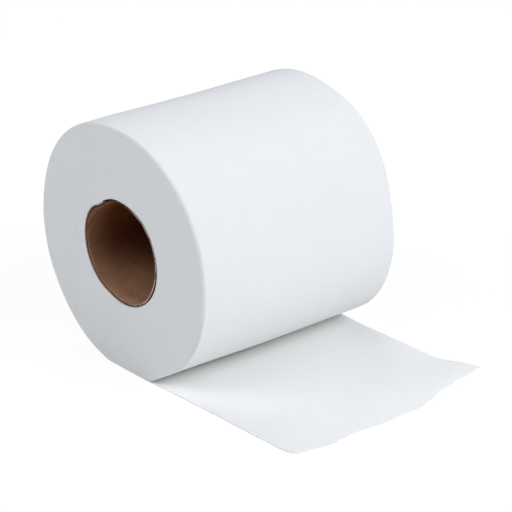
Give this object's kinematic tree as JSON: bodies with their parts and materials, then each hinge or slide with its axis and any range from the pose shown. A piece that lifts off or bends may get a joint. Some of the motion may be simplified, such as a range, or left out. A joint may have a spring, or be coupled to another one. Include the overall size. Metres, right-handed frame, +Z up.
{
  "type": "toilet paper roll",
  "caption": "Roll of plain white toilet tissue wound on a brown cardboard tube, lying on its side with its last sheet unrolled flat and one corner curled up.",
  "frame": {"origin": "middle of the cardboard tube, on its axis and halfway along it", "axes": "+Y along the tube towards its far end, +X towards the torn end of the loose sheet, +Z up"},
  "size_m": [0.1559, 0.1, 0.1018],
  "materials": {
    "tissue": "soft matte white tissue, finely creped",
    "board": "matte brown recycled board"
  },
  "bodies": {
    "root": {"cardboard_core": "board", "wound_tissue": "tissue"}
  },
  "joints": []
}
